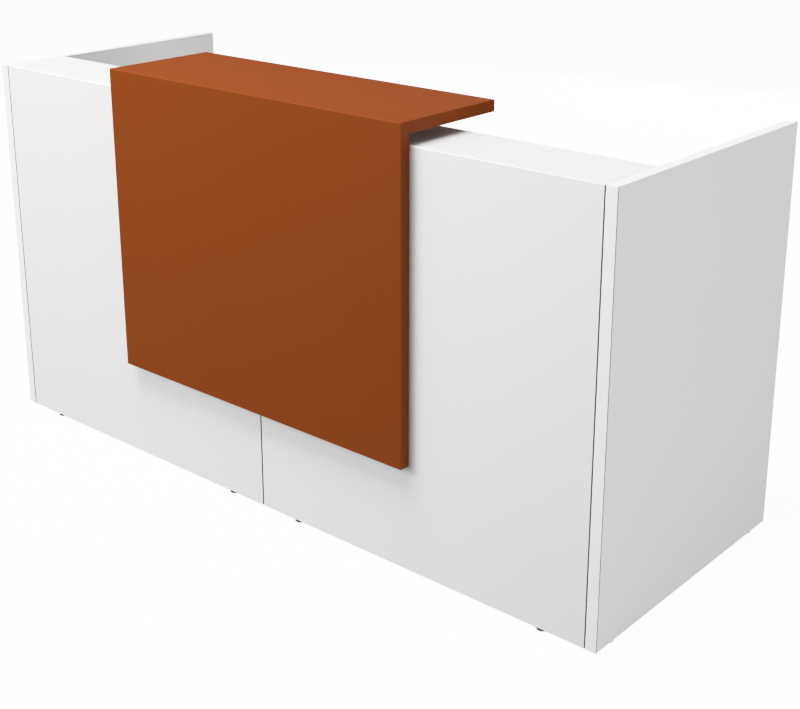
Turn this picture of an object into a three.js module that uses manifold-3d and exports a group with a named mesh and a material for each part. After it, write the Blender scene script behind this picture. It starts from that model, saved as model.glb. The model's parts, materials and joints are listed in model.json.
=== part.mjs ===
// A reception desk: two panelled modules between full end panels, with a coloured accent panel
// on the visitor's side that folds over into a raised counter.
// Millimetres. +X runs along the desk, +Y from the visitor's side to the staff side, +Z up.
// The origin is on the floor, in the middle of the desk's footprint.
import * as THREE from "three";
import { mergeVertices } from "three/addons/utils/BufferGeometryUtils.js";
import Module from "manifold-3d";

// Driving dimensions
const MODULE_WIDTH = 1000; // one front panel, one ledge and one worktop
const BOARD = 28; // thickness of every board
const PANEL_HEIGHT = 1042; // front and end panels, from their bottom edge to the ledge's top
const END_DEPTH = 777; // end panels, from the front face to the staff side
const LEDGE_DEPTH = 194;
const ACCENT_WIDTH = 996;
const ACCENT_LIFT = 274; // from the panels' bottom edge to the accent panel's
const COUNTER_DEPTH = 333;
const COUNTER_CLEARANCE = 26; // air between the ledge and the counter
const WORKTOP_HEIGHT = 740;
const WORKTOP_DEPTH = 700;
const LEG_DEPTH = 640;
const FIN_DEPTH = 146; // upright between worktop and ledge

const SEAM = 0.6; // visible joint between two boards
const GAP = 0.3; // hidden joint between two pieces that bear on each other
const ARRIS = 0.5; // eased board edges
const MITRE_RADIUS = 2.5; // rounded outer corner of a folded joint

const FOOT_HEIGHT = 6; // the floor gap under the panels
const FOOT_DIAMETER = 20;
const FOOT_FLUTES = 10;
const FLUTE_DEPTH = 0.9;
const FOOT_INSET = 122; // front feet, from each end of a front panel
const SIDE_FOOT_INSET = 70; // feet under end panels and leg, from their front and rear edges
const STUD_DIAMETER = 8;
const STUD_LENGTH = 34;
const STUD_CHAMFER = 1;
const INSERT_DIAMETER = 12;
const INSERT_LENGTH = 24;
const INSERT_BARBS = 3;
const BARB_DEPTH = 0.5;
const BORE_DEPTH = 44; // foot bore in a board's bottom edge

const SPACER_DIAMETER = 36;
const SPACER_CHAMFER = 1.2;
const SPACER_OFFSETS = [110, 390]; // from the middle of the desk, on both sides
const SPACER_SETBACK = 128; // from the front face

const ANGLE_LEG = 40; // folded steel angles that hold the boards together
const ANGLE_THICKNESS = 3;
const ANGLE_WIDTH = 60;
const ANGLE_BEND = 5; // outer bend radius
const ANGLE_HOLE = 6;
const ANGLE_HOLE_OFFSET = 24; // from the bend's outer face
const ANGLE_HOLE_SPACING = 32;
const ANGLE_EDGE_INSET = 110; // angles under a worktop, from its front and rear edges
const CORNER_ANGLE_HEIGHT = 360;

const GROMMET_HOLE = 80;
const GROMMET_FLANGE = 92;
const GROMMET_WALL = 2.2;
const GROMMET_BARREL = 23; // below the worktop's surface
const GROMMET_RIM = 3.6; // above the worktop's surface
const GROMMET_SEAT = 1.6; // step that carries the cap
const GROMMET_RIM_SLOPE = 1.5;
const CAP_DIAMETER = 82;
const CAP_THICKNESS = 2;
const CAP_SKIRT_DEPTH = 8;
const CAP_CHAMFER = 0.6;
const CAP_CLEARANCE = 0.4;
const CABLE_SLOT_WIDTH = 22;
const CABLE_SLOT_REACH = 19; // closest point of the slot to the cap's centre
const GROMMET_END_INSET = 150; // from the end panel's inner face
const GROMMET_FRONT_INSET = 210; // from the front panel's inner face

// Facets round a circle
const DRILL_ROUND = 8;
const SMALL_ROUND = 12;
const FOOT_ROUND = 3 * FOOT_FLUTES;
const SPACER_ROUND = 28;
const GROMMET_ROUND = 36;

// Finishes
const FINISHES = {
  white: { color: 0xf1f1ef, roughness: 0.5, metalness: 0 },
  accent: { color: 0xac5528, roughness: 0.5, metalness: 0 },
  aluminium: { color: 0xb9bcbe, roughness: 0.35, metalness: 1 },
  steel: { color: 0x9a9da0, roughness: 0.45, metalness: 1 },
  black: { color: 0x161616, roughness: 0.6, metalness: 0 },
  grey: { color: 0xa9abac, roughness: 0.55, metalness: 0 },
};

// Planes that several pieces share
const depthOverall = BOARD + GAP + END_DEPTH;
const rearEdge = depthOverall / 2;
const frontFace = rearEdge - END_DEPTH;
const accentFace = -rearEdge;
const frontInside = frontFace + BOARD;
const endInside = MODULE_WIDTH + SEAM / 2;
const panelBottom = FOOT_HEIGHT;
const ledgeTop = panelBottom + PANEL_HEIGHT;
const ledgeUnderside = ledgeTop - BOARD;
const counterTop = ledgeTop + COUNTER_CLEARANCE + BOARD;
const accentBottom = panelBottom + ACCENT_LIFT;
const worktopUnderside = WORKTOP_HEIGHT - BOARD;
const worktopFront = frontInside + GAP;
const worktopRear = worktopFront + WORKTOP_DEPTH;
const boardLength = MODULE_WIDTH - SEAM;

const X = new THREE.Vector3(1, 0, 0);
const Y = new THREE.Vector3(0, 1, 0);
const Z = new THREE.Vector3(0, 0, 1);
const LEFT_X = X.clone().negate();
const FRONT_Y = Y.clone().negate();
const DOWN_Z = Z.clone().negate();
const SIDES = [
  { side: "left", sign: -1, inward: X, outward: LEFT_X },
  { side: "right", sign: 1, inward: LEFT_X, outward: X },
];

const wasm = await Module();
wasm.setup();

const desk = new THREE.Group();

// Boolean cuts and joins

function toSolid(geometry) {
  const bare = geometry.index ? geometry.toNonIndexed() : geometry.clone();
  bare.deleteAttribute("normal");
  bare.deleteAttribute("uv");
  const merged = mergeVertices(bare, 1e-4);
  return new wasm.Manifold(
    new wasm.Mesh({
      numProp: 3,
      vertProperties: new Float32Array(merged.attributes.position.array),
      triVerts: new Uint32Array(merged.index.array),
    }),
  );
}

function toGeometry(solid) {
  const mesh = solid.getMesh();
  const indexed = new THREE.BufferGeometry();
  indexed.setAttribute("position", new THREE.BufferAttribute(mesh.vertProperties, 3));
  indexed.setIndex(new THREE.BufferAttribute(mesh.triVerts, 1));
  const geometry = indexed.toNonIndexed();
  geometry.computeVertexNormals();
  return geometry;
}

function cut(geometry, tools) {
  let solid = toSolid(geometry);
  for (const tool of tools) solid = solid.subtract(toSolid(tool));
  return toGeometry(solid);
}

function join(first, second) {
  return toGeometry(toSolid(first).add(toSolid(second)));
}

// Shared shapes

// Adds a piece to the desk. Its local first and second axes point along u and v.
function place(name, geometry, finish, position, u = X, v = Y) {
  const mesh = new THREE.Mesh(geometry, new THREE.MeshStandardMaterial(FINISHES[finish]));
  mesh.name = name;
  mesh.position.set(...position);
  mesh.setRotationFromMatrix(new THREE.Matrix4().makeBasis(u, v, u.clone().cross(v)));
  desk.add(mesh);
}

// Extrudes an outline along its third axis, from 0 to length, with the end edges eased too.
function easedExtrusion(outline, length, curveSegments = 1) {
  const geometry = new THREE.ExtrudeGeometry(outline, {
    depth: length - 2 * ARRIS,
    bevelThickness: ARRIS,
    bevelSize: ARRIS,
    bevelOffset: -ARRIS,
    bevelSegments: 1,
    curveSegments,
  });
  return geometry.translate(0, 0, ARRIS);
}

function easedRectangle(width, height) {
  const shape = new THREE.Shape();
  shape.moveTo(ARRIS, 0);
  shape.lineTo(width - ARRIS, 0);
  shape.lineTo(width, ARRIS);
  shape.lineTo(width, height - ARRIS);
  shape.lineTo(width - ARRIS, height);
  shape.lineTo(ARRIS, height);
  shape.lineTo(0, height - ARRIS);
  shape.lineTo(0, ARRIS);
  shape.closePath();
  return shape;
}

// Section of a board whose far edge is mitred at 45 degrees. The first axis goes from the outer
// face inwards, the second from the plain edge to the mitre's tip, which is rounded.
function mitredSection(extent) {
  const tip = extent - GAP / Math.SQRT2;
  const shape = new THREE.Shape();
  shape.moveTo(ARRIS, 0);
  shape.lineTo(BOARD - ARRIS, 0);
  shape.lineTo(BOARD, ARRIS);
  shape.lineTo(BOARD, tip - BOARD);
  shape.absarc(MITRE_RADIUS, tip - MITRE_RADIUS, MITRE_RADIUS, 0.75 * Math.PI, Math.PI, false);
  shape.lineTo(0, ARRIS);
  shape.closePath();
  return shape;
}

// A bore up into a board's bottom edge, for each distance along the board.
function footBores(distances) {
  const overshoot = 1;
  return distances.map((distance) => {
    const radius = INSERT_DIAMETER / 2 + GAP;
    const bore = new THREE.CylinderGeometry(radius, radius, BORE_DEPTH + overshoot, SMALL_ROUND);
    return bore.translate(BOARD / 2, (BORE_DEPTH - overshoot) / 2, distance);
  });
}

// A closed profile of [radius, height] points turned about the third axis.
function turned(profile, facets) {
  const points = profile.map(([radius, height]) => new THREE.Vector2(radius, height));
  return new THREE.LatheGeometry(points, facets).rotateX(Math.PI / 2);
}

// Boards

function addFrontPanels() {
  const feet = [FOOT_INSET - SEAM / 2, boardLength - FOOT_INSET + SEAM / 2];
  for (const { side, sign } of SIDES) {
    const start = sign < 0 ? -MODULE_WIDTH + SEAM / 2 : SEAM / 2;
    const plain = easedExtrusion(mitredSection(PANEL_HEIGHT), boardLength);
    const panel = cut(plain, footBores(feet));
    place(`front_panel_${side}`, panel, "white", [start, frontFace, panelBottom], Y, Z);
    const ledge = easedExtrusion(mitredSection(LEDGE_DEPTH), boardLength);
    const ledgeRear = [start + boardLength, frontFace + LEDGE_DEPTH, ledgeTop];
    place(`ledge_${side}`, ledge, "white", ledgeRear, DOWN_Z, FRONT_Y);
  }
}

function addEndPanels() {
  const feet = [SIDE_FOOT_INSET, END_DEPTH - SIDE_FOOT_INSET];
  const plain = easedExtrusion(easedRectangle(BOARD, PANEL_HEIGHT), END_DEPTH);
  const panel = cut(plain, footBores(feet));
  const rightFaces = { left: -endInside, right: endInside + BOARD };
  for (const { side } of SIDES) {
    const corner = [rightFaces[side], frontFace, panelBottom];
    place(`end_panel_${side}`, panel.clone(), "white", corner, LEFT_X, Z);
  }
}

function addCentreSupport() {
  const legHeight = worktopUnderside - GAP - panelBottom;
  const feet = [SIDE_FOOT_INSET, LEG_DEPTH - SIDE_FOOT_INSET];
  const leg = cut(easedExtrusion(easedRectangle(BOARD, legHeight), LEG_DEPTH), footBores(feet));
  place("centre_leg", leg, "white", [BOARD / 2, worktopFront, panelBottom], LEFT_X, Z);
  const finHeight = ledgeUnderside - WORKTOP_HEIGHT - 2 * GAP;
  const fin = easedExtrusion(easedRectangle(BOARD, finHeight), FIN_DEPTH);
  place("centre_fin", fin, "white", [BOARD / 2, worktopFront, WORKTOP_HEIGHT + GAP], LEFT_X, Z);
}

// The accent panel and the counter are one folded pair, mitred along the top front edge.
function addAccent() {
  const start = -ACCENT_WIDTH / 2;
  const panel = easedExtrusion(mitredSection(counterTop - accentBottom), ACCENT_WIDTH);
  place("accent_panel", panel, "accent", [start, accentFace, accentBottom], Y, Z);
  const counter = easedExtrusion(mitredSection(COUNTER_DEPTH), ACCENT_WIDTH);
  const counterRear = [-start, accentFace + COUNTER_DEPTH, counterTop];
  place("counter", counter, "accent", counterRear, DOWN_Z, FRONT_Y);
}

function addCounterSpacers() {
  const height = COUNTER_CLEARANCE - 2 * GAP;
  const radius = SPACER_DIAMETER / 2;
  const profile = [
    [0, 0],
    [radius - SPACER_CHAMFER, 0],
    [radius, SPACER_CHAMFER],
    [radius, height - SPACER_CHAMFER],
    [radius - SPACER_CHAMFER, height],
    [0, height],
  ];
  for (const { side, sign } of SIDES) {
    for (const [index, offset] of SPACER_OFFSETS.entries()) {
      const seat = [sign * offset, frontFace + SPACER_SETBACK, ledgeTop + GAP];
      const name = `counter_spacer_${side}_${index === 0 ? "inner" : "outer"}`;
      place(name, turned(profile, SPACER_ROUND), "aluminium", seat);
    }
  }
}

// Worktops, each with a cable hole near its end panel

const grommetX = endInside - GROMMET_END_INSET;
const grommetY = frontInside + GROMMET_FRONT_INSET;

function addWorktops() {
  for (const { side, sign } of SIDES) {
    const start = sign < 0 ? -MODULE_WIDTH + SEAM / 2 : SEAM / 2;
    const outline = easedRectangle(boardLength, WORKTOP_DEPTH);
    const hole = new THREE.Path();
    const holeX = sign * grommetX - start;
    hole.absarc(holeX, grommetY - worktopFront, GROMMET_HOLE / 2, 0, 2 * Math.PI, true);
    outline.holes.push(hole);
    const worktop = easedExtrusion(outline, BOARD, GROMMET_ROUND / 2);
    place(`worktop_${side}`, worktop, "white", [start, worktopFront, worktopUnderside]);
  }
}

// A grommet lines a cable hole. Its cap turns on a step in the flange, and the slot in the cap's
// rim lets the cables through.
function addGrommets() {
  const barrel = GROMMET_HOLE / 2 - CAP_CLEARANCE;
  const bore = barrel - GROMMET_WALL;
  const flange = GROMMET_FLANGE / 2;
  const recess = CAP_DIAMETER / 2 + CAP_CLEARANCE;
  const sleeve = [
    [bore, -GROMMET_BARREL],
    [barrel, -GROMMET_BARREL],
    [barrel, GAP],
    [flange, GAP],
    [flange, GROMMET_RIM - GROMMET_RIM_SLOPE],
    [flange - GROMMET_RIM_SLOPE, GROMMET_RIM],
    [recess, GROMMET_RIM],
    [recess, GROMMET_SEAT],
    [bore, GROMMET_SEAT],
    [bore, -GROMMET_BARREL],
  ];
  const capBottom = GROMMET_SEAT + GAP;
  const capTop = capBottom + CAP_THICKNESS;
  const skirt = bore - CAP_CLEARANCE;
  const cap = [
    [0, capBottom],
    [skirt - GROMMET_WALL, capBottom],
    [skirt - GROMMET_WALL, -CAP_SKIRT_DEPTH],
    [skirt, -CAP_SKIRT_DEPTH],
    [skirt, capBottom],
    [CAP_DIAMETER / 2, capBottom],
    [CAP_DIAMETER / 2, capTop - CAP_CHAMFER],
    [CAP_DIAMETER / 2 - CAP_CHAMFER, capTop],
    [0, capTop],
  ];
  for (const { side, sign } of SIDES) {
    const centre = [sign * grommetX, grommetY, WORKTOP_HEIGHT];
    place(`grommet_sleeve_${side}`, turned(sleeve, GROMMET_ROUND), "grey", centre);
    const slotted = cut(turned(cap, GROMMET_ROUND), [cableSlot()]);
    place(`grommet_cap_${side}`, slotted, "grey", centre);
  }
}

// A slot with a round inner end, open at the cap's rim on the staff side.
function cableSlot() {
  const half = CABLE_SLOT_WIDTH / 2;
  const pastRim = CAP_DIAMETER;
  const depth = CAP_DIAMETER;
  const shape = new THREE.Shape();
  shape.moveTo(half, pastRim);
  shape.lineTo(-half, pastRim);
  shape.absarc(0, CABLE_SLOT_REACH + half, half, Math.PI, 2 * Math.PI, false);
  shape.closePath();
  const tool = new THREE.ExtrudeGeometry(shape, { depth, bevelEnabled: false, curveSegments: SMALL_ROUND });
  return tool.translate(0, 0, -depth / 2);
}

// Folded steel angles

// The first leg lies along the first axis and the second along the second, from a rounded bend.
// The third axis runs across the angle and has its zero in the middle.
function steelAngle() {
  const inner = ANGLE_BEND - ANGLE_THICKNESS;
  const section = new THREE.Shape();
  section.moveTo(ANGLE_LEG, 0);
  section.lineTo(ANGLE_LEG, ANGLE_THICKNESS);
  section.absarc(ANGLE_BEND, ANGLE_BEND, inner, 1.5 * Math.PI, Math.PI, true);
  section.lineTo(ANGLE_THICKNESS, ANGLE_LEG);
  section.lineTo(0, ANGLE_LEG);
  section.absarc(ANGLE_BEND, ANGLE_BEND, ANGLE_BEND, Math.PI, 1.5 * Math.PI, false);
  section.closePath();
  const options = { depth: ANGLE_WIDTH, bevelEnabled: false, curveSegments: 3 };
  const blank = new THREE.ExtrudeGeometry(section, options).translate(0, 0, -ANGLE_WIDTH / 2);
  const holeRadius = ANGLE_HOLE / 2;
  const drill = new THREE.CylinderGeometry(holeRadius, holeRadius, 4 * ANGLE_THICKNESS, DRILL_ROUND);
  const holes = [];
  for (const across of [-ANGLE_HOLE_SPACING / 2, ANGLE_HOLE_SPACING / 2]) {
    holes.push(drill.clone().translate(ANGLE_HOLE_OFFSET, 0, across));
    holes.push(drill.clone().rotateZ(Math.PI / 2).translate(0, ANGLE_HOLE_OFFSET, across));
  }
  return cut(blank, holes);
}

function addAngles() {
  const angle = steelAngle();
  const put = (name, corner, u, v) => place(name, angle.clone(), "steel", corner, u, v);
  const underWorktop = worktopUnderside - GAP;
  const underLedge = ledgeUnderside - GAP;
  const behindFront = frontInside + GAP;
  const nearFront = worktopFront + ANGLE_EDGE_INSET;
  const nearRear = worktopRear - ANGLE_EDGE_INSET;
  const underLedgeMiddle = frontInside + (LEDGE_DEPTH - BOARD) / 2;
  for (const { side, sign, inward, outward } of SIDES) {
    const atEnd = sign * (endInside - GAP);
    const atLeg = sign * (BOARD / 2 + GAP);
    const atMiddle = (sign * MODULE_WIDTH) / 2;
    for (const [row, y] of [["front", nearFront], ["rear", nearRear]]) {
      put(`worktop_angle_${side}_end_${row}`, [atEnd, y, underWorktop], inward, DOWN_Z);
      put(`worktop_angle_${side}_leg_${row}`, [atLeg, y, underWorktop], outward, DOWN_Z);
    }
    put(`worktop_angle_${side}_panel`, [atMiddle, behindFront, underWorktop], Y, DOWN_Z);
    put(`ledge_angle_${side}_panel`, [atMiddle, behindFront, underLedge], Y, DOWN_Z);
    put(`ledge_angle_${side}_end`, [atEnd, underLedgeMiddle, underLedge], inward, DOWN_Z);
    put(`corner_angle_${side}_end`, [atEnd, behindFront, CORNER_ANGLE_HEIGHT], inward, Y);
    put(`corner_angle_${side}_leg`, [atLeg, behindFront, CORNER_ANGLE_HEIGHT], outward, Y);
  }
}

// Levelling feet

// A fluted disc on a stud. At rest it is screwed home against the board.
function levellingFoot() {
  const discHeight = FOOT_HEIGHT - GAP;
  const outline = new THREE.Shape();
  for (let step = 0; step < FOOT_ROUND; step += 1) {
    const turn = (2 * Math.PI * step) / FOOT_ROUND;
    const flute = FLUTE_DEPTH * Math.max(0, Math.cos(FOOT_FLUTES * turn));
    const radius = FOOT_DIAMETER / 2 - flute;
    const point = [radius * Math.cos(turn), radius * Math.sin(turn)];
    if (step === 0) outline.moveTo(...point);
    else outline.lineTo(...point);
  }
  outline.closePath();
  const disc = easedExtrusion(outline, discHeight);
  const rooted = discHeight / 2;
  const stud = [
    [0, rooted],
    [STUD_DIAMETER / 2, rooted],
    [STUD_DIAMETER / 2, discHeight + STUD_LENGTH - STUD_CHAMFER],
    [STUD_DIAMETER / 2 - STUD_CHAMFER, discHeight + STUD_LENGTH],
    [0, discHeight + STUD_LENGTH],
  ];
  return join(disc, turned(stud, SMALL_ROUND));
}

// A barbed steel bush in the board's bottom edge that takes the foot's stud.
function footInsert() {
  const bore = STUD_DIAMETER / 2 + GAP;
  const outer = INSERT_DIAMETER / 2;
  const pitch = INSERT_LENGTH / INSERT_BARBS;
  const barbRun = 0.8 * pitch;
  const profile = [[bore, 0]];
  for (let barb = 0; barb < INSERT_BARBS; barb += 1) {
    profile.push([outer, barb * pitch]);
    profile.push([outer - BARB_DEPTH, barb * pitch + barbRun]);
  }
  profile.push([outer - BARB_DEPTH, INSERT_LENGTH], [bore, INSERT_LENGTH], [bore, 0]);
  return turned(profile, SMALL_ROUND);
}

function addFeet() {
  const foot = levellingFoot();
  const insert = footInsert();
  const midFront = frontFace + BOARD / 2;
  const midEnd = endInside + BOARD / 2;
  const endRows = [
    ["front", frontFace + SIDE_FOOT_INSET],
    ["rear", rearEdge - SIDE_FOOT_INSET],
  ];
  const spots = [
    ["leg_front", 0, worktopFront + SIDE_FOOT_INSET],
    ["leg_rear", 0, worktopFront + LEG_DEPTH - SIDE_FOOT_INSET],
  ];
  for (const { side, sign } of SIDES) {
    spots.push([`${side}_panel_outer`, sign * (MODULE_WIDTH - FOOT_INSET), midFront]);
    spots.push([`${side}_panel_inner`, sign * FOOT_INSET, midFront]);
    for (const [row, y] of endRows) spots.push([`${side}_end_${row}`, sign * midEnd, y]);
  }
  for (const [spot, x, y] of spots) {
    place(`foot_${spot}`, foot.clone(), "black", [x, y, 0]);
    place(`foot_insert_${spot}`, insert.clone(), "steel", [x, y, panelBottom + GAP]);
  }
}

addFrontPanels();
addEndPanels();
addCentreSupport();
addAccent();
addCounterSpacers();
addWorktops();
addGrommets();
addAngles();
addFeet();

export default desk;
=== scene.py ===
"""A reception desk: white faced boards with a burnt orange accent panel that folds into a raised counter.

Metres. +X runs along the desk, +Y from the visitor's side to the staff side, +Z up.
"""

import json
import math

import bmesh
import bpy
from mathutils import Matrix, Vector


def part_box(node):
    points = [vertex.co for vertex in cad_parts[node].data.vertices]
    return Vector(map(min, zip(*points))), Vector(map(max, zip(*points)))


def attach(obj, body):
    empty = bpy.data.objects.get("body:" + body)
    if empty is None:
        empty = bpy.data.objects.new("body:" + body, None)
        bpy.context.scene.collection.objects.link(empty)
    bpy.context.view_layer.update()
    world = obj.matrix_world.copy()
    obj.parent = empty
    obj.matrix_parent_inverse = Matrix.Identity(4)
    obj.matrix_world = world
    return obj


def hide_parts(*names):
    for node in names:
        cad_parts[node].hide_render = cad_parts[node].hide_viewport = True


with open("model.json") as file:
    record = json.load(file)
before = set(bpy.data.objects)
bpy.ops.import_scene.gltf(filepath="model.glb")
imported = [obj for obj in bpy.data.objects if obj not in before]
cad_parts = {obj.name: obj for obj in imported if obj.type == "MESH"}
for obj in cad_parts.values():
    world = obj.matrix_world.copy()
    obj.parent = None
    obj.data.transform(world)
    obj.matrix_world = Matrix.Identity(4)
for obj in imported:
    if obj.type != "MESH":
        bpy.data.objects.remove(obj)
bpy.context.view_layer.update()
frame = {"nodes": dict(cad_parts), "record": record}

MM = 0.001
AXES = (Vector((1, 0, 0)), Vector((0, 1, 0)), Vector((0, 0, 1)))
X, Y, Z = AXES
SIDES = {"left": -1, "right": 1}

# Two sides of a board, as an axis and a sign
FRONT = (1, -1)
TOP = (2, 1)

# How far a face's normal agrees with a side
FLAT = 0.99  # the flat of the side only
NEARLY_FLAT = 0.95  # with the first step of its rounded edges
HALF_TURNED = 0.6  # with the nearer half of its rounded edges

# Boards
EASE = 0.8 * MM  # rounded edges
EASE_STEPS = 3
FOLD_RADIUS = 2.5 * MM  # rounded outer corner of a folded joint
FOLD_STEPS = 6
FOLD_GAP = 0.03 * MM  # hairline in a mitre, from its middle
BAND = 1.0 * MM  # thickness of the glued edge band
GLUE_LINE = 0.35 * MM  # width of the line of glue behind the band
FRONT_GLUE_AND_PAINTED_SHADE_LINE = 2.0 * MM  # behind the front band of each end panel, a glue line widened and darkened into painted shade of the rounded front edge
GLUE_LINE_SLOPE = 0.4 * GLUE_LINE  # each sloping side of the groove
GLUE_LINE_DEPTH = 0.08 * MM
FAINT_GLUE = 0.3  # share of that dark in all other glue lines
END_JOINT = 2.4 * MM  # gap that shows between a front panel and an end panel
CENTRE_JOINT = 3.2 * MM  # gap that shows between the two front panels
BORE_CLEARANCE = 0.3 * MM
BORE_DEPTH = 44 * MM

# Steel angles and their screws
ANGLE_THICKNESS = 3 * MM
ANGLE_BEND = 5 * MM
ANGLE_CORNER = 4 * MM
ANGLE_STEPS = 6
ANGLE_EASE = 0.4 * MM
SCREW_OFFSET = 24 * MM
SCREW_SPACING = 32 * MM
SCREW_HEAD = 9.4 * MM
SCREW_HEAD_HEIGHT = 2.6 * MM
SCREW_CROWN = 0.65 * SCREW_HEAD_HEIGHT
SCREW_CROWN_STEPS = 4
RECESS_LENGTH = 5 * MM
RECESS_WIDTH = 1.1 * MM
RECESS_DEPTH = 1.5 * MM

# Feet
GLIDE_HEIGHT = 5.7 * MM
WIDE_GLIDE = 25 * MM  # glides under the front panels, nearly as wide as the board
FLUTES = 10
FLUTE_POINTS = 8  # outline points from one flute to the next
FLUTE_BITE = 0.9 * MM
FLUTE_SHAPE = (1.0, 0.65, 0.12)  # share of the bite at a flute's middle and at the points beside it
GLIDE_EASE = 0.5 * MM
GLIDE_RIM = 2.4 * MM  # ring that stands on the floor, round a shallow recess
GLIDE_RECESS = 0.6 * MM
THREAD_DIAMETER = 8 * MM
THREAD_PITCH = 1.25 * MM
THREAD_DEPTH = 0.6 * MM

# Grommets
GROMMET_LIP = 6 * MM  # how far the flange covers the worktop round the hole
GROMMET_WALL = 2.2 * MM
GROMMET_CLEARANCE = 0.4 * MM
GROMMET_SEAT = 1.6 * MM
GROMMET_CHAMFER = 1.5 * MM
GROMMET_EASE = 0.2 * MM
CAP_THICKNESS = 2 * MM
CABLE_SLOT = 22 * MM
CABLE_SLOT_START = 19 * MM  # from the cap's middle to the closed end of the slot

# Counter spacers
SPACER_EASE = 1.2 * MM

# Meshes
SHARP = math.radians(40)  # a sharper edge than this stays an edge
WELD = 0.01 * MM  # points closer than this are one point
FINE_STEPS = 2  # steps in the smallest roundings
ROUND = 72  # facets round a turned piece
SMALL_ROUND = 24  # facets round a small one

# The photograph's camera, for a frame of 800 by 709 pixels: angles in degrees, the lens in millimetres
CAMERA_PLACE = (2.413, -2.624, 1.753)
CAMERA_TURN = 40.80
CAMERA_TILT = 17.40
CAMERA_LENS = 62.85
CAMERA_SHIFT = -0.14

# Tone: straight up to the knee, then a soft shoulder, with a last rise to full white for the floor
TONE_KNEE = 0.5
TONE_RANGE = 2.0
TONE_STEPS = 16
WHITE_RISE = 1.35
FULL_WHITE = 1.65

# The floor and the surround look nearly white, and light the desk only a little
FLOOR_SIZE = 60
FLOOR_TONE = 0.14
FLOOR_DRIFT = 0.01
FLOOR_GLOW = 1.5
PAINTED_SHADOW_REACH = 5 * MM  # how far the painted contact shadow round each foot reaches
SURROUND_GLOW = 1.65
SURROUND_LIGHT = 0.18
LIGHT_TARGET = (0, 0, 0.6)  # the desk's middle


# Finishes


class Value:
    """A shader socket that takes part in Python arithmetic."""

    def __init__(self, finish, socket):
        self.finish = finish
        self.socket = socket

    def __add__(self, other):
        return self.finish.maths("ADD", self, other)

    def __sub__(self, other):
        return self.finish.maths("SUBTRACT", self, other)

    def __rsub__(self, other):
        return self.finish.maths("SUBTRACT", other, self)

    def __mul__(self, other):
        return self.finish.maths("MULTIPLY", self, other)

    __radd__ = __add__
    __rmul__ = __mul__


class Finish:
    """A procedural material. Its node method adds any node, and values combine as Python expressions."""

    # The Mix node's sockets for colours
    MIX_SHARE, MIX_FIRST, MIX_SECOND, MIX_RESULT = 0, 6, 7, 2

    def __init__(self, name):
        self.material = bpy.data.materials.new(name)
        self.material.use_nodes = True
        self.tree = self.material.node_tree
        self.shader = self.tree.nodes["Principled BSDF"]
        self.places = self.node("ShaderNodeTexCoord", {}, {}, "Object")

    def feed(self, socket, value):
        """Links a value to a socket, or sets the socket to a number or a colour."""
        if isinstance(value, Value):
            self.tree.links.new(value.socket, socket)
        elif isinstance(value, tuple) and socket.type == "RGBA":
            socket.default_value = (*value, 1)
        else:
            socket.default_value = value

    def node(self, kind, settings, sockets, output=0):
        made = self.tree.nodes.new(kind)
        for name, value in settings.items():
            setattr(made, name, value)
        for name, value in sockets.items():
            self.feed(made.inputs[name], value)
        return Value(self, made.outputs[output])

    def maths(self, operation, first, second):
        return self.node("ShaderNodeMath", {"operation": operation}, {0: first, 1: second})

    def mixed(self, share, first, second):
        colours = {self.MIX_SHARE: share, self.MIX_FIRST: first, self.MIX_SECOND: second}
        return self.node("ShaderNodeMix", {"data_type": "RGBA"}, colours, self.MIX_RESULT)

    def grain(self, scale, detail, stretch=(1, 1, 1)):
        """Noise with about this many features to the metre, from 0 to 1."""
        places = self.node("ShaderNodeMapping", {}, {"Vector": self.places, "Scale": stretch})
        sockets = {"Vector": places, "Scale": scale, "Detail": detail}
        return self.node("ShaderNodeTexNoise", {}, sockets)

    def relief(self, height, depth, strength):
        sockets = {"Height": height, "Distance": depth, "Strength": strength}
        return self.node("ShaderNodeBump", {}, sockets)

    def surface(self, **sockets):
        """Feeds the shader's sockets, named in lower case with underscores."""
        for name, value in sockets.items():
            label = name.replace("_", " ").title().replace("Ior", "IOR")
            self.feed(self.shader.inputs[label], value)


def faced_board_finish(name, light, dark, band_light, band_dark, glue_and_shade_colour, shine):
    """Melamine with a fine pearl texture, a smoother edge band of nearly its colour, and a dark glue
    colour for real glue lines and for painted shade in open joints and along the end panels' front edges.
    """
    finish = Finish(name)
    band = finish.node("ShaderNodeAttribute", {"attribute_name": "edge_band"}, {}, "Fac")
    glue_and_shade_mask = finish.node("ShaderNodeAttribute", {"attribute_name": "glue_line_and_painted_shade"}, {}, "Fac")
    drift = finish.grain(scale=2.2, detail=1.0)
    pearl = finish.grain(scale=1500, detail=3.0)
    patches = finish.grain(scale=160, detail=3.0)
    tone = drift * 0.7 + patches * 0.3
    faced = finish.mixed(tone, dark, light)
    banded = finish.mixed(tone, band_dark, band_light)
    finish.surface(
        # The glue colour paints the glue lines, and also painted shade in the open joints and along the
        # end panels' front edges
        base_color=finish.mixed(glue_and_shade_mask, finish.mixed(band, faced, banded), glue_and_shade_colour),
        roughness=0.40 + patches * 0.10 - band * 0.10,
        normal=finish.relief(pearl * (1 - band * 0.6), depth=0.02 * MM, strength=0.5),
        specular_ior_level=shine,
    )
    return finish.material


def moulded_plastic(name, light, dark, roughness):
    """Injection moulded plastic with a fine spark eroded texture."""
    finish = Finish(name)
    spark = finish.grain(scale=2600, detail=2.0)
    cloud = finish.grain(scale=90, detail=3.0)
    finish.surface(
        base_color=finish.mixed(cloud, dark, light),
        roughness=roughness - 0.06 + spark * 0.12,
        normal=finish.relief(spark, depth=0.03 * MM, strength=0.6),
    )
    return finish.material


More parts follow.
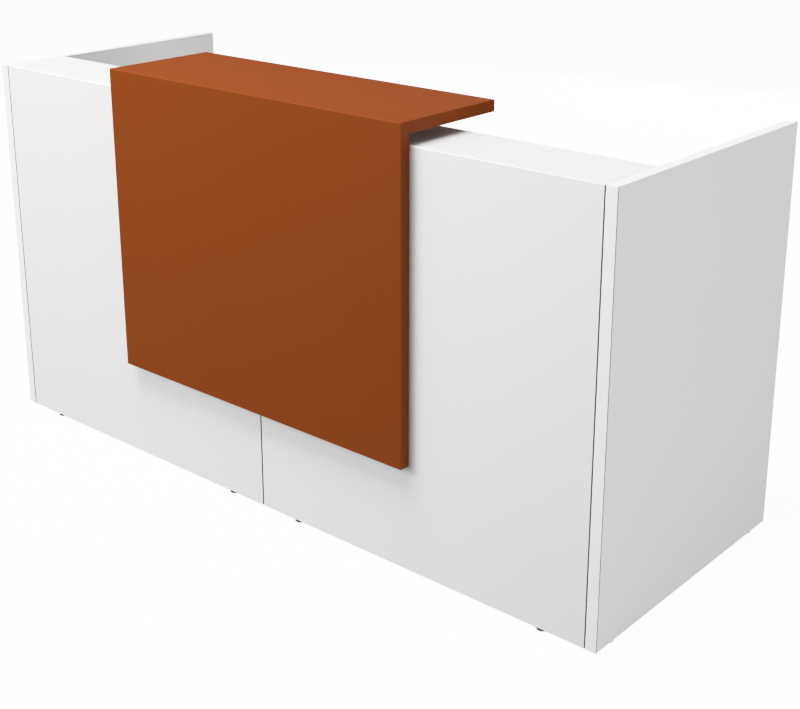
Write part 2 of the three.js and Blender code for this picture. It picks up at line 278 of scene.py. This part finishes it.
def powder_coat(name, light, dark):
    """Baked powder paint with its slight orange peel."""
    finish = Finish(name)
    peel = finish.grain(scale=700, detail=2.0)
    specks = finish.grain(scale=4200, detail=1.0)
    finish.surface(
        base_color=finish.mixed(specks, dark, light),
        roughness=0.38 + specks * 0.14,
        normal=finish.relief(peel, depth=0.05 * MM, strength=0.5),
    )
    return finish.material


def plated_steel(name, light, dark):
    """Zinc plate with a faint spangle and a fine grain."""
    finish = Finish(name)
    spangle = finish.grain(scale=420, detail=3.0)
    fine = finish.grain(scale=3000, detail=2.0)
    finish.surface(
        base_color=finish.mixed(spangle, dark, light),
        roughness=0.26 + spangle * 0.16,
        metallic=1.0,
        normal=finish.relief(fine, depth=0.01 * MM, strength=0.4),
    )
    return finish.material


def turned_aluminium(name, light, dark):
    """Aluminium with the fine rings that a lathe leaves round it."""
    finish = Finish(name)
    rings = finish.grain(scale=60, detail=3.0, stretch=(0.4, 0.4, 90))
    cloud = finish.grain(scale=70, detail=2.0)
    finish.surface(
        base_color=finish.mixed(cloud * 0.5 + rings * 0.5, dark, light),
        roughness=0.24 + rings * 0.18,
        metallic=1.0,
        normal=finish.relief(rings, depth=0.04 * MM, strength=0.5),
    )
    return finish.material


white = faced_board_finish(
    "white_melamine",
    light=(0.86, 0.862, 0.86),
    dark=(0.83, 0.832, 0.83),
    band_light=(0.96, 0.962, 0.96),
    band_dark=(0.94, 0.942, 0.94),
    glue_and_shade_colour=(0.10, 0.10, 0.10),
    shine=0.42,
)
orange = faced_board_finish(
    "burnt_orange_melamine",
    light=(0.236, 0.0520, 0.0082),
    dark=(0.222, 0.0485, 0.0072),
    band_light=(0.215, 0.0470, 0.0074),
    band_dark=(0.203, 0.0440, 0.0066),
    glue_and_shade_colour=(0.10, 0.020, 0.004),
    shine=0.06,
)
aluminium = turned_aluminium("turned_aluminium", light=(0.72, 0.73, 0.74), dark=(0.58, 0.59, 0.60))
grey_coat = powder_coat("grey_powder_coat", light=(0.46, 0.47, 0.48), dark=(0.38, 0.39, 0.40))
zinc = plated_steel("zinc_plate", light=(0.70, 0.71, 0.72), dark=(0.52, 0.53, 0.55))
black_plastic = moulded_plastic(
    "black_plastic",
    light=(0.014, 0.014, 0.015),
    dark=(0.008, 0.008, 0.009),
    roughness=0.5,
)
grey_plastic = moulded_plastic(
    "grey_plastic",
    light=(0.42, 0.43, 0.44),
    dark=(0.36, 0.37, 0.38),
    roughness=0.48,
)


# Modelling steps


def leave_edit():
    bpy.ops.object.mode_set(mode="OBJECT")


def clear_selection():
    if bpy.context.object and bpy.context.object.mode != "OBJECT":
        leave_edit()
    bpy.ops.object.select_all(action="DESELECT")


def take(piece):
    """Makes a piece the only one selected."""
    clear_selection()
    bpy.context.view_layer.objects.active = piece
    piece.select_set(True)


def edit(piece):
    take(piece)
    bpy.ops.object.mode_set(mode="EDIT")
    bpy.ops.mesh.select_all(action="DESELECT")


def started(name):
    """Names the primitive that was just added and puts its place and size into its mesh."""
    piece = bpy.context.object
    piece.name = name
    bpy.ops.object.transform_apply(location=True, rotation=True, scale=True)
    return piece


def start_box(name, low, high):
    clear_selection()
    bpy.ops.mesh.primitive_cube_add(size=1, location=(low + high) / 2, scale=high - low)
    return started(name)


def start_cylinder(name, base, radius, height, facets):
    clear_selection()
    middle = base + Z * height / 2
    bpy.ops.mesh.primitive_cylinder_add(vertices=facets, radius=radius, depth=height, location=middle)
    return started(name)


def open_selection(piece, kind):
    """Clears the selection in edit mode and gives the mesh to pick from."""
    bpy.ops.mesh.select_mode(type=kind)
    bpy.ops.mesh.select_all(action="DESELECT")
    return bmesh.from_edit_mesh(piece.data)


def pick_faces(piece, wanted):
    """Selects the faces whose middle and normal pass a test, in edit mode."""
    mesh = open_selection(piece, "FACE")
    for face in mesh.faces:
        face.select_set(bool(wanted(face.calc_center_median(), face.normal)))
    bmesh.update_edit_mesh(piece.data)


def pick_edges(piece, wanted):
    """Selects the edges whose two ends pass a test, in edit mode."""
    mesh = open_selection(piece, "EDGE")
    for edge in mesh.edges:
        edge.select_set(bool(wanted(edge.verts[0].co, edge.verts[1].co)))
    bmesh.update_edit_mesh(piece.data)


def pick_points(piece, wanted):
    """Selects the vertices whose place passes a test, in edit mode."""
    mesh = open_selection(piece, "VERT")
    for point in mesh.verts:
        point.select_set(bool(wanted(point.co)))
    mesh.select_flush_mode()
    bmesh.update_edit_mesh(piece.data)


def pick_all(kind):
    bpy.ops.mesh.select_mode(type=kind)
    bpy.ops.mesh.select_all(action="SELECT")


def round_edges(radius, steps):
    bpy.ops.mesh.bevel(offset=radius, segments=steps, profile=0.5, affect="EDGES")


def round_sharp_edges(radius, steps):
    bpy.ops.mesh.select_mode(type="EDGE")
    bpy.ops.mesh.select_all(action="DESELECT")
    bpy.ops.mesh.edges_select_sharp(sharpness=SHARP)
    round_edges(radius, steps)


def extrude(move):
    bpy.ops.mesh.extrude_region_move(TRANSFORM_OT_translate={"value": move})


def draw_in(scale):
    """Scales the selection towards the Z axis."""
    bpy.ops.transform.resize(value=(scale, scale, 1), center_override=(0, 0, 0))


def slice_through(place, direction, **keep):
    bpy.ops.mesh.select_all(action="SELECT")
    bpy.ops.mesh.bisect(plane_co=place, plane_no=direction, **keep)


def cut_out(piece, cutters):
    """Takes the cutters' shapes out of a piece and removes them."""
    for cutter in cutters:
        take(piece)
        cut = piece.modifiers.new("cut", "BOOLEAN")
        cut.operation = "DIFFERENCE"
        cut.solver = "EXACT"
        cut.object = cutter
        bpy.ops.object.modifier_apply(modifier=cut.name)
        bpy.data.objects.remove(cutter)


def close_seams():
    """Merges doubled points, removes what has no area and turns every face outward, in edit mode."""
    pick_all("VERT")
    bpy.ops.mesh.remove_doubles(threshold=WELD)
    bpy.ops.mesh.dissolve_degenerate(threshold=WELD)
    bpy.ops.mesh.delete_loose()
    bpy.ops.mesh.select_all(action="SELECT")
    bpy.ops.mesh.normals_make_consistent(inside=False)


def turned(name, profile, facets):
    """A closed profile of (radius, height) points, drawn by extruding a vertex and spun round Z."""
    clear_selection()
    bpy.ops.mesh.primitive_plane_add(size=MM)
    piece = bpy.context.object
    piece.name = name
    bpy.ops.object.mode_set(mode="EDIT")
    pick_all("VERT")
    bpy.ops.mesh.merge(type="CENTER")
    points = [Vector((radius, 0, height)) for radius, height in profile]
    bpy.ops.transform.translate(value=points[0])
    for here, there in zip(points, points[1:] + points[:1]):
        extrude(there - here)
    bpy.ops.mesh.select_all(action="SELECT")
    bpy.ops.mesh.spin(steps=facets, angle=math.tau, center=(0, 0, 0), axis=(0, 0, 1))
    close_seams()
    leave_edit()
    return piece


def smooth(piece):
    """Smooth shading over the rounded edges, with the flat faces kept flat."""
    take(piece)
    bpy.ops.object.shade_smooth_by_angle(angle=SHARP)
    even = piece.modifiers.new("even_normals", "WEIGHTED_NORMAL")
    even.keep_sharp = True
    even.weight = 100
    bpy.ops.object.modifier_apply(modifier=even.name)


def copied(source, name, placing):
    """A copy with a mesh of its own, put in place by moving the mesh."""
    piece = source.copy()
    piece.data = source.data.copy()
    piece.name = name
    piece.data.transform(placing)
    bpy.context.collection.objects.link(piece)
    return piece


def joined(name, pieces):
    clear_selection()
    for piece in pieces:
        piece.select_set(True)
    bpy.context.view_layer.objects.active = pieces[0]
    bpy.ops.object.join()
    pieces[0].name = name
    return pieces[0]


def settle(piece, material, body, slot, *nodes):
    """Gives a finished piece its finish, its body and the parts that it stands for."""
    piece.data.materials.clear()
    piece.data.materials.append(material)
    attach(piece, body)
    if nodes:
        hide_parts(*nodes)


def body_of_node(node):
    bodies = frame["record"]["behaviour"]["bodies"]
    return next(body for body, nodes in bodies.items() if node in nodes)


def nodes_starting(prefix):
    return sorted(name for name in frame["nodes"] if name.startswith(prefix))


def radius_of(node):
    """The radius of a round node, from the greater of its two widths."""
    low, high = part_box(node)
    return max(high.x - low.x, high.y - low.y) / 2


def underside(node):
    """The middle of a node's underside."""
    low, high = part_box(node)
    middle = (low + high) / 2
    middle.z = low.z
    return middle


# Boards


class Side:
    """A side of a board that has an edge band, and the width of the glue line behind the band."""

    def __init__(self, axis, sign, place, line):
        self.axis = axis
        self.sign = sign
        self.place = place
        self.line = line

    def depth(self, point):
        """How far a point lies in from the side."""
        return self.sign * (self.place - point[self.axis])

    def holds_line(self, point):
        return BAND < self.depth(point) < BAND + self.line


class Board:
    """A board in the making: its mesh, the axis of its thickness and the sides that have an edge band."""

    def __init__(self, node, low, high, fold=None, front_line=GLUE_LINE):
        size = high - low
        self.node = node
        self.thin = min(range(3), key=lambda axis: size[axis])
        self.sides = self.banded_sides(low, high, fold, front_line)
        self.piece = start_box(f"{node}_faced", low, high)

    def banded_sides(self, low, high, fold, front_line):
        """All sides but the two faces and a folded edge."""
        sides = []
        for axis in range(3):
            for sign, place in ((-1, low[axis]), (1, high[axis])):
                if axis != self.thin and (axis, sign) != fold:
                    line = front_line if (axis, sign) == FRONT else GLUE_LINE
                    sides.append(Side(axis, sign, place, line))
        return sides

    def groove_glue_lines(self):
        """A fine groove on both faces where the edge band meets the facing."""
        edit(self.piece)
        for side in self.sides:
            direction = AXES[side.axis]
            for depth in (BAND, BAND + side.line):
                slice_through(direction * (side.place - side.sign * depth), direction)

        def in_line(middle, normal):
            inside = all(side.depth(middle) > BAND for side in self.sides)
            on_line = any(side.holds_line(middle) for side in self.sides)
            return abs(normal[self.thin]) > FLAT and inside and on_line

        pick_faces(self.piece, in_line)
        bpy.ops.mesh.inset(thickness=GLUE_LINE_SLOPE, depth=-GLUE_LINE_DEPTH)

    def bore_for_feet(self, spots):
        """A bore for each foot, up from below the board."""
        leave_edit()
        for spot in spots:
            insert = f"foot_insert_{spot}"
            base = underside(insert)
            base.z -= BORE_CLEARANCE + BORE_DEPTH
            radius = radius_of(insert) + BORE_CLEARANCE
            cut_out(self.piece, [start_cylinder("bore", base, radius, 2 * BORE_DEPTH, SMALL_ROUND)])

    def glue_and_painted_shade_tone(self, face):
        """How dark the glue line is at a face: full dark on the end panels' widened front lines, which
        are painted shade of the rounded front edges, and nothing away from the lines.
        """
        widths = [side.line for side in self.sides if side.holds_line(face.center)]
        if not widths or abs(face.normal[self.thin]) < HALF_TURNED:
            return 0.0
        # Full dark on the end panels' widened front lines, which are painted shade of the rounded front
        # edges; the other glue lines take a faint share
        return 1.0 if max(widths) > GLUE_LINE else FAINT_GLUE

    def mark(self, painted_joint_shade):
        """Marks the edge band, the glue lines and the painted shade inside an open joint for the finish.
        """
        faces = self.piece.data.polygons
        banded = [float(min(side.depth(face.center) for side in self.sides) < BAND) for face in faces]
        # Faces inside an open joint get painted shade in the glue colour
        glue_and_shade_marks = [1.0 if painted_joint_shade and painted_joint_shade(face) else self.glue_and_painted_shade_tone(face) for face in faces]
        for name, values in (("edge_band", banded), ("glue_line_and_painted_shade", glue_and_shade_marks)):
            mark = self.piece.data.attributes.new(name, "FLOAT", "FACE")
            mark.data.foreach_set("value", values)

    def finish(self, material, slot, painted_joint_shade=None):
        leave_edit()
        smooth(self.piece)
        self.mark(painted_joint_shade)
        settle(self.piece, material, body_of_node(self.node), slot, self.node)


def plain_board(node, foot_spots=(), front_line=GLUE_LINE):
    low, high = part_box(node)
    board = Board(node, low, high, front_line=front_line)
    edit(board.piece)
    round_sharp_edges(EASE, EASE_STEPS)
    board.groove_glue_lines()
    board.bore_for_feet(foot_spots)
    return board


def folded_board(node, low, high, corner, fold, foot_spots=()):
    """A board whose folded edge is rounded and then mitred against its neighbour."""
    board = Board(node, low, high, fold)
    edit(board.piece)

    def on_corner(first, second):
        return all(max(abs(end.y - corner.y), abs(end.z - corner.z)) < EASE for end in (first, second))

    pick_edges(board.piece, on_corner)
    round_edges(FOLD_RADIUS, FOLD_STEPS)
    round_sharp_edges(EASE, EASE_STEPS)
    board.groove_glue_lines()
    mitre = (Y + Z).normalized()
    if fold == TOP:
        slice_through(corner - mitre * FOLD_GAP, mitre, use_fill=True, clear_outer=True)
    else:
        slice_through(corner + mitre * FOLD_GAP, mitre, use_fill=True, clear_inner=True)
    board.bore_for_feet(foot_spots)
    return board


def folded_pair(upright, shelf, foot_spots=(), run=None):
    """An upright and the shelf that folds back from its top. A run sets the upright's ends along X."""
    upright_low, upright_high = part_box(upright)
    shelf_low, shelf_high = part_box(shelf)
    corner = Vector((0, upright_low.y, shelf_high.z))
    upright_high.z = corner.z
    shelf_low.y = corner.y
    if run:
        upright_low.x, upright_high.x = run
    standing = folded_board(upright, upright_low, upright_high, corner, TOP, foot_spots)
    lying = folded_board(shelf, shelf_low, shelf_high, corner, FRONT)
    return standing, lying


def front_run(side):
    """Where a front panel starts and ends along X, with an open joint at both ends."""
    end_low, end_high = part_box(f"end_panel_{side}")
    if side == "left":
        return end_high.x + END_JOINT, -CENTRE_JOINT / 2
    return CENTRE_JOINT / 2, end_low.x - END_JOINT


def make_front(side):
    """A front panel, with painted shade on both ends, which lie in open joints, and its ledge."""
    feet = (f"{side}_panel_outer", f"{side}_panel_inner")
    panel, ledge = folded_pair(f"front_panel_{side}", f"ledge_{side}", feet, front_run(side))
    # Both ends of the panel, inside the open joints, get painted shade in the glue colour
    panel.finish(white, "white_board", lambda face: abs(face.normal.x) > NEARLY_FLAT)
    ledge.finish(white, "white_board")


def make_end_panel(side):
    """An end panel, with painted shade where its inner face lies against the end of a front panel."""
    panel_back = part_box(f"front_panel_{side}")[1].y
    ledge_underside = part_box(f"ledge_{side}")[0].z
    feet = (f"{side}_end_front", f"{side}_end_rear")
    # The front glue line of an end panel is widened and darkened into painted shade of its rounded front
    # edge
    board = plain_board(f"end_panel_{side}", feet, FRONT_GLUE_AND_PAINTED_SHADE_LINE)
    edit(board.piece)
    slice_through(Y * panel_back, Y)

    # Painted shade on the inner face where the front panel's end meets it, inside the open joint
    def against_panel(face):
        inward = -SIDES[side] * face.normal.x
        return inward > HALF_TURNED and face.center.y < panel_back and face.center.z < ledge_underside

    board.finish(white, "white_board", against_panel)


def make_worktop(side):
    board = plain_board(f"worktop_{side}")
    cut_out(board.piece, [cable_hole(side)])
    board.finish(white, "white_board")


def make_boards():
    for side in SIDES:
        make_front(side)
        make_end_panel(side)
        make_worktop(side)
    for board in folded_pair("accent_panel", "counter"):
        board.finish(orange, "accent_board")
    plain_board("centre_leg", ("leg_front", "leg_rear")).finish(white, "white_board")
    plain_board("centre_fin").finish(white, "white_board")


# Counter spacers


def make_spacers():
    for node in nodes_starting("counter_spacer"):
        low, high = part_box(node)
        spacer = start_cylinder(f"{node}_turned", underside(node), radius_of(node), high.z - low.z, ROUND)
        edit(spacer)
        round_sharp_edges(SPACER_EASE, EASE_STEPS)
        leave_edit()
        smooth(spacer)
        settle(spacer, aluminium, "desk", "spacer_aluminium", node)


# Steel angles


def angle_directions(node):
    """The way that each of an angle's two legs points."""
    side, spot = node.split("_angle_")[1].split("_", 1)
    outward = X * SIDES[side]
    along = outward if spot.startswith("leg") else -outward
    if node.startswith("corner"):
        return along, Y
    if spot == "panel":
        return Y, -Z
    return along, -Z


def angle_placing(node):
    """Puts an angle modelled along X and Y, centred on Z, where its node is."""
    low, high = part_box(node)
    first, second = angle_directions(node)
    corner = (low + high) / 2
    for axis, pointing in enumerate(first + second):
        if pointing:
            corner[axis] = low[axis] if pointing > 0 else high[axis]
    turn = Matrix((first, second, first.cross(second))).transposed().to_4x4()
    return Matrix.Translation(corner) @ turn


def bent_angle():
    low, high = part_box(nodes_starting("corner_angle")[0])
    leg = high.y - low.y
    width = high.z - low.z
    piece = start_box(
        "angle_pattern",
        Vector((0, 0, -width / 2)),
        Vector((leg, ANGLE_THICKNESS, width / 2)),
    )
    edit(piece)
    slice_through((ANGLE_THICKNESS, 0, 0), X)
    pick_faces(piece, lambda middle, normal: normal.y > FLAT and middle.x < ANGLE_THICKNESS)
    extrude(Y * (leg - ANGLE_THICKNESS))

    def along_bend(first, second, place):
        return all(abs(end.x - place) + abs(end.y - place) < ANGLE_EASE for end in (first, second))

    pick_edges(piece, lambda first, second: along_bend(first, second, 0))
    round_edges(ANGLE_BEND, ANGLE_STEPS)
    pick_edges(piece, lambda first, second: along_bend(first, second, ANGLE_THICKNESS))
    round_edges(ANGLE_BEND - ANGLE_THICKNESS, ANGLE_STEPS)

    def free_corner(first, second):
        middle = (first + second) / 2
        length = (first - second).length
        level = abs((first - second).z) < ANGLE_EASE and abs(middle.z) > width / 2 - ANGLE_EASE
        at_tip = max(middle.x, middle.y) > leg - ANGLE_EASE
        return level and at_tip and length < 2 * ANGLE_THICKNESS

    pick_edges(piece, free_corner)
    round_edges(ANGLE_CORNER, ANGLE_STEPS)
    round_sharp_edges(ANGLE_EASE, FINE_STEPS)
    close_seams()
    leave_edit()
    smooth(piece)
    return piece


def screw_head():
    """A pan head with a cross recess, standing on the origin."""
    head = start_cylinder("screw_pattern", Vector(), SCREW_HEAD / 2, SCREW_HEAD_HEIGHT, SMALL_ROUND)
    edit(head)
    pick_edges(head, lambda first, second: min(first.z, second.z) > SCREW_HEAD_HEIGHT / 2)
    round_edges(SCREW_CROWN, SCREW_CROWN_STEPS)
    leave_edit()
    top = Z * SCREW_HEAD_HEIGHT
    for along_x, along_y in ((RECESS_LENGTH, RECESS_WIDTH), (RECESS_WIDTH, RECESS_LENGTH)):
        reach = Vector((along_x / 2, along_y / 2, RECESS_DEPTH))
        cut_out(head, [start_box("recess", top - reach, top + reach)])
    smooth(head)
    return head


def angle_screws():
    """The four screws of an angle, two through each leg, modelled with it."""
    head = screw_head()
    on_first = Matrix.Rotation(-math.pi / 2, 4, "X")
    on_second = Matrix.Rotation(math.pi / 2, 4, "Y")
    heads = []
    for across in (-SCREW_SPACING / 2, SCREW_SPACING / 2):
        first_seat = Matrix.Translation((SCREW_OFFSET, ANGLE_THICKNESS, across))
        second_seat = Matrix.Translation((ANGLE_THICKNESS, SCREW_OFFSET, across))
        heads.append(copied(head, "screw", first_seat @ on_first))
        heads.append(copied(head, "screw", second_seat @ on_second))
    bpy.data.objects.remove(head)
    return joined("screws_pattern", heads)


def make_angles():
    angle = bent_angle()
    screws = angle_screws()
    nodes = [name for name in sorted(frame["nodes"]) if "_angle_" in name]
    for node in nodes:
        placing = angle_placing(node)
        settle(copied(angle, f"{node}_bent", placing), grey_coat, "desk", "bracket_steel", node)
        settle(copied(screws, f"{node}_screws", placing), zinc, "desk", "insert_steel")
    for pattern in (angle, screws):
        bpy.data.objects.remove(pattern)


# Grommets


def grommet_centre(side):
    """The middle of a cable hole, level with the worktop's upper face."""
    centre = underside(f"grommet_sleeve_{side}")
    centre.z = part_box(f"worktop_{side}")[1].z
    return centre


def hole_radius(side):
    return radius_of(f"grommet_sleeve_{side}") - GROMMET_LIP


def barrel_radii(side):
    """The outside and the bore of a sleeve's barrel."""
    outside = hole_radius(side) - GROMMET_CLEARANCE
    return outside, outside - GROMMET_WALL


def cable_hole(side):
    """A cutter for a worktop's cable hole, longer than the board is thick."""
    low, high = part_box(f"worktop_{side}")
    thickness = high.z - low.z
    base = grommet_centre(side)
    base.z = low.z - thickness
    return start_cylinder("hole", base, hole_radius(side), 3 * thickness, ROUND)


def make_sleeve(side):
    node = f"grommet_sleeve_{side}"
    low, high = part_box(node)
    centre = grommet_centre(side)
    flange = radius_of(node)
    rim = high.z - centre.z
    barrel_end = low.z - centre.z
    recess = radius_of(f"grommet_cap_{side}") + GROMMET_CLEARANCE
    barrel, bore = barrel_radii(side)
    seam = BORE_CLEARANCE
    profile = [
        (bore, barrel_end),
        (barrel, barrel_end),
        (barrel, seam),
        (flange, seam),
        (flange, rim - GROMMET_CHAMFER),
        (flange - GROMMET_CHAMFER, rim),
        (recess, rim),
        (recess, GROMMET_SEAT),
        (bore, GROMMET_SEAT),
    ]
    sleeve = turned(f"{node}_moulded", profile, ROUND)
    edit(sleeve)
    round_sharp_edges(GROMMET_EASE, FINE_STEPS)
    leave_edit()
    sleeve.data.transform(Matrix.Translation(centre))
    smooth(sleeve)
    settle(sleeve, grey_plastic, "desk", "grommet_plastic", node)


def cable_slot(cap_radius):
    """The cutters of a cap's cable slot: its round closed end, and its run out through the rim."""
    half = CABLE_SLOT / 2
    middle = CABLE_SLOT_START + half
    closed_end = start_cylinder("slot_end", Vector((0, middle, -cap_radius)), half, 2 * cap_radius, ROUND)
    run = start_box(
        "slot_run",
        Vector((-half, middle, -cap_radius)),
        Vector((half, 2 * cap_radius, cap_radius)),
    )
    return [closed_end, run]


def make_cap(side):
    node = f"grommet_cap_{side}"
    low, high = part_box(node)
    centre = grommet_centre(side)
    radius = radius_of(node)
    top = high.z - centre.z
    under = top - CAP_THICKNESS
    skirt_end = low.z - centre.z
    skirt = barrel_radii(side)[1] - GROMMET_CLEARANCE
    profile = [
        (0, under),
        (skirt - GROMMET_WALL, under),
        (skirt - GROMMET_WALL, skirt_end),
        (skirt, skirt_end),
        (skirt, under),
        (radius, under),
        (radius, top),
        (0, top),
    ]
    cap = turned(f"{node}_moulded", profile, ROUND)
    cut_out(cap, cable_slot(radius))
    edit(cap)
    close_seams()
    round_sharp_edges(GROMMET_EASE, FINE_STEPS)
    close_seams()
    leave_edit()
    cap.data.transform(Matrix.Translation(centre))
    smooth(cap)
    settle(cap, grey_plastic, body_of_node(node), "grommet_plastic", node)


def make_grommets():
    for side in SIDES:
        make_sleeve(side)
        make_cap(side)


# Levelling feet


def beside_flute(point, offset):
    """Tells whether an outline point is this many points from the middle of a flute, to either side."""
    step = math.tau / (FLUTES * FLUTE_POINTS)
    place = round(math.atan2(point.y, point.x) / step) % FLUTE_POINTS
    return place in (offset, FLUTE_POINTS - offset)


def press_flutes(outline, radius):
    """Draws an outline in at evenly spaced places round it."""
    for offset, share in enumerate(FLUTE_SHAPE):
        pick_points(outline, lambda point: beside_flute(point, offset))
        draw_in(1 - FLUTE_BITE * share / radius)


def fluted_glide(radius):
    """A fluted glide with a shallow recess underneath, standing on the origin."""
    clear_selection()
    bpy.ops.mesh.primitive_circle_add(vertices=FLUTES * FLUTE_POINTS, radius=radius, fill_type="NGON")
    glide = bpy.context.object
    glide.name = "glide_pattern"
    edit(glide)
    press_flutes(glide, radius)
    pick_all("FACE")
    extrude(Z * GLIDE_HEIGHT)
    bpy.ops.mesh.select_all(action="SELECT")
    bpy.ops.mesh.normals_make_consistent(inside=False)
    pick_faces(glide, lambda middle, normal: normal.z < -FLAT)
    extrude((0, 0, 0))
    draw_in(1 - GLIDE_RIM / radius)
    extrude(Z * GLIDE_RECESS)
    rim_middle = radius - GLIDE_RIM / 2

    def on_rim(first, second):
        level = abs(first.z - second.z) < WELD
        return level and min(first.xy.length, second.xy.length) > rim_middle

    pick_edges(glide, on_rim)
    round_edges(GLIDE_EASE, EASE_STEPS)
    leave_edit()
    smooth(glide)
    return glide


def threaded_stud(bottom, top):
    """A stud with a ridge for each turn of its thread and a chamfered end."""
    crest = THREAD_DIAMETER / 2
    root = crest - THREAD_DEPTH
    ridges = int((top - bottom) / THREAD_PITCH) - 1
    profile = [(0, bottom), (root, bottom)]
    for ridge in range(ridges):
        start = bottom + ridge * THREAD_PITCH
        profile.append((crest, start + THREAD_PITCH / 2))
        profile.append((root, start + THREAD_PITCH))
    profile.append((root, top - THREAD_DEPTH))
    profile.append((root - THREAD_DEPTH, top))
    profile.append((0, top))
    stud = turned("stud_pattern", profile, SMALL_ROUND)
    take(stud)
    bpy.ops.object.shade_smooth_by_angle(angle=SHARP)
    return stud


def make_feet():
    feet = [name for name in nodes_starting("foot_") if not name.startswith("foot_insert")]
    glide = fluted_glide(radius_of(feet[0]))
    wide_glide = fluted_glide(WIDE_GLIDE / 2)
    stud = threaded_stud(GLIDE_HEIGHT - GLIDE_EASE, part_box(feet[0])[1].z)
    for node in feet:
        placing = Matrix.Translation(underside(node))
        pattern = wide_glide if "_panel_" in node else glide
        settle(copied(pattern, f"{node}_glide", placing), black_plastic, node, "foot_plastic", node)
        settle(copied(stud, f"{node}_stud", placing), zinc, node, "insert_steel")
    for pattern in (glide, wide_glide, stud):
        bpy.data.objects.remove(pattern)


def finish_inserts():
    for node in nodes_starting("foot_insert"):
        materials = frame["nodes"][node].data.materials
        materials.clear()
        materials.append(zinc)


# Floor, light and camera


def make_floor():
    """A pale floor that looks white to the camera, with a painted contact shadow close round each foot.
    """
    clear_selection()
    bpy.ops.mesh.primitive_plane_add(size=FLOOR_SIZE)
    floor = bpy.context.object
    floor.name = "floor"
    finish = Finish("pale_floor")
    cloud = finish.grain(scale=0.8, detail=2.0)
    light = (FLOOR_TONE + FLOOR_DRIFT,) * 3
    dark = (FLOOR_TONE - FLOOR_DRIFT,) * 3
    unlit = (0.0, 0.0, 0.0)
    lit = (1.0, 1.0, 1.0)
    seen = finish.node("ShaderNodeLightPath", {}, {}, "Is Camera Ray")
    painted_contact_shadow = finish.node("ShaderNodeAmbientOcclusion", {}, {"Distance": PAINTED_SHADOW_REACH}, "AO")
    finish.surface(
        base_color=finish.mixed(cloud, dark, light),
        roughness=0.9,
        # Ambient occlusion darkens the floor's glow into a painted contact shadow round each foot
        emission_color=finish.mixed(seen * painted_contact_shadow * painted_contact_shadow, unlit, lit),
        emission_strength=FLOOR_GLOW,
    )
    floor.data.materials.append(finish.material)


def soft_light(name, place, width, height, power):
    """A rectangular softbox that faces the desk's middle."""
    light = bpy.data.lights.new(name, "AREA")
    light.shape = "RECTANGLE"
    light.size = width
    light.size_y = height
    light.energy = power
    lamp = bpy.data.objects.new(name, light)
    lamp.location = place
    lamp.rotation_euler = (Vector(LIGHT_TARGET) - Vector(place)).to_track_quat("-Z", "Y").to_euler()
    bpy.context.collection.objects.link(lamp)


def make_lights():
    soft_light("steep_front_softbox", place=(-0.6, -1.5, 4.4), width=2.6, height=1.6, power=220)
    soft_light("front_left_softbox", place=(-3.0, -4.2, 3.0), width=2.4, height=1.6, power=136)
    soft_light("low_front_fill", place=(-1.2, -5.0, 1.6), width=3.0, height=2.0, power=72)
    soft_light("low_right_fill", place=(6.0, -0.2, 0.9), width=3.0, height=1.6, power=166)
    soft_light("low_rear_fill", place=(-1.5, 5.5, 1.2), width=3.0, height=2.0, power=90)


def make_surround():
    """A white surround for the camera, which lights the desk evenly and weakly."""
    world = bpy.data.worlds.new("studio")
    world.use_nodes = True
    nodes = world.node_tree.nodes
    links = world.node_tree.links
    sky = nodes["Background"]
    sky.inputs["Color"].default_value = (1, 1, 1, 1)
    path = nodes.new("ShaderNodeLightPath")
    level = nodes.new("ShaderNodeMapRange")
    level.inputs["To Min"].default_value = SURROUND_LIGHT
    level.inputs["To Max"].default_value = SURROUND_GLOW
    links.new(path.outputs["Is Camera Ray"], level.inputs["Value"])
    links.new(level.outputs["Result"], sky.inputs["Strength"])
    bpy.context.scene.world = world


def shoulder(value):
    """The shown tone of a linear value."""
    if value <= TONE_KNEE:
        return value
    room = 1 - TONE_KNEE
    shown = TONE_KNEE + room * (1 - math.exp((TONE_KNEE - value) / room))
    share = min(max((value - WHITE_RISE) / (FULL_WHITE - WHITE_RISE), 0), 1)
    return shown + (1 - shown) * share


def set_tone():
    settings = bpy.context.scene.view_settings
    settings.view_transform = "Standard"
    settings.look = "None"
    settings.use_curve_mapping = True
    mapping = settings.curve_mapping
    mapping.white_level = (TONE_RANGE, TONE_RANGE, TONE_RANGE)
    combined = mapping.curves[3]
    combined.points[-1].location = (1, 1)
    for step in range(1, TONE_STEPS):
        share = (step / TONE_STEPS) ** 2
        combined.points.new(share, shoulder(share * TONE_RANGE))
    mapping.update()


def make_camera():
    lens = bpy.data.cameras.new("camera")
    lens.lens = CAMERA_LENS
    lens.shift_y = CAMERA_SHIFT
    camera = bpy.data.objects.new("camera", lens)
    camera.location = CAMERA_PLACE
    camera.rotation_euler = (math.radians(90 - CAMERA_TILT), 0, math.radians(CAMERA_TURN))
    bpy.context.collection.objects.link(camera)
    bpy.context.scene.camera = camera


make_boards()
make_spacers()
make_angles()
make_grommets()
make_feet()
finish_inserts()
make_floor()
make_lights()
make_surround()
set_tone()
make_camera()
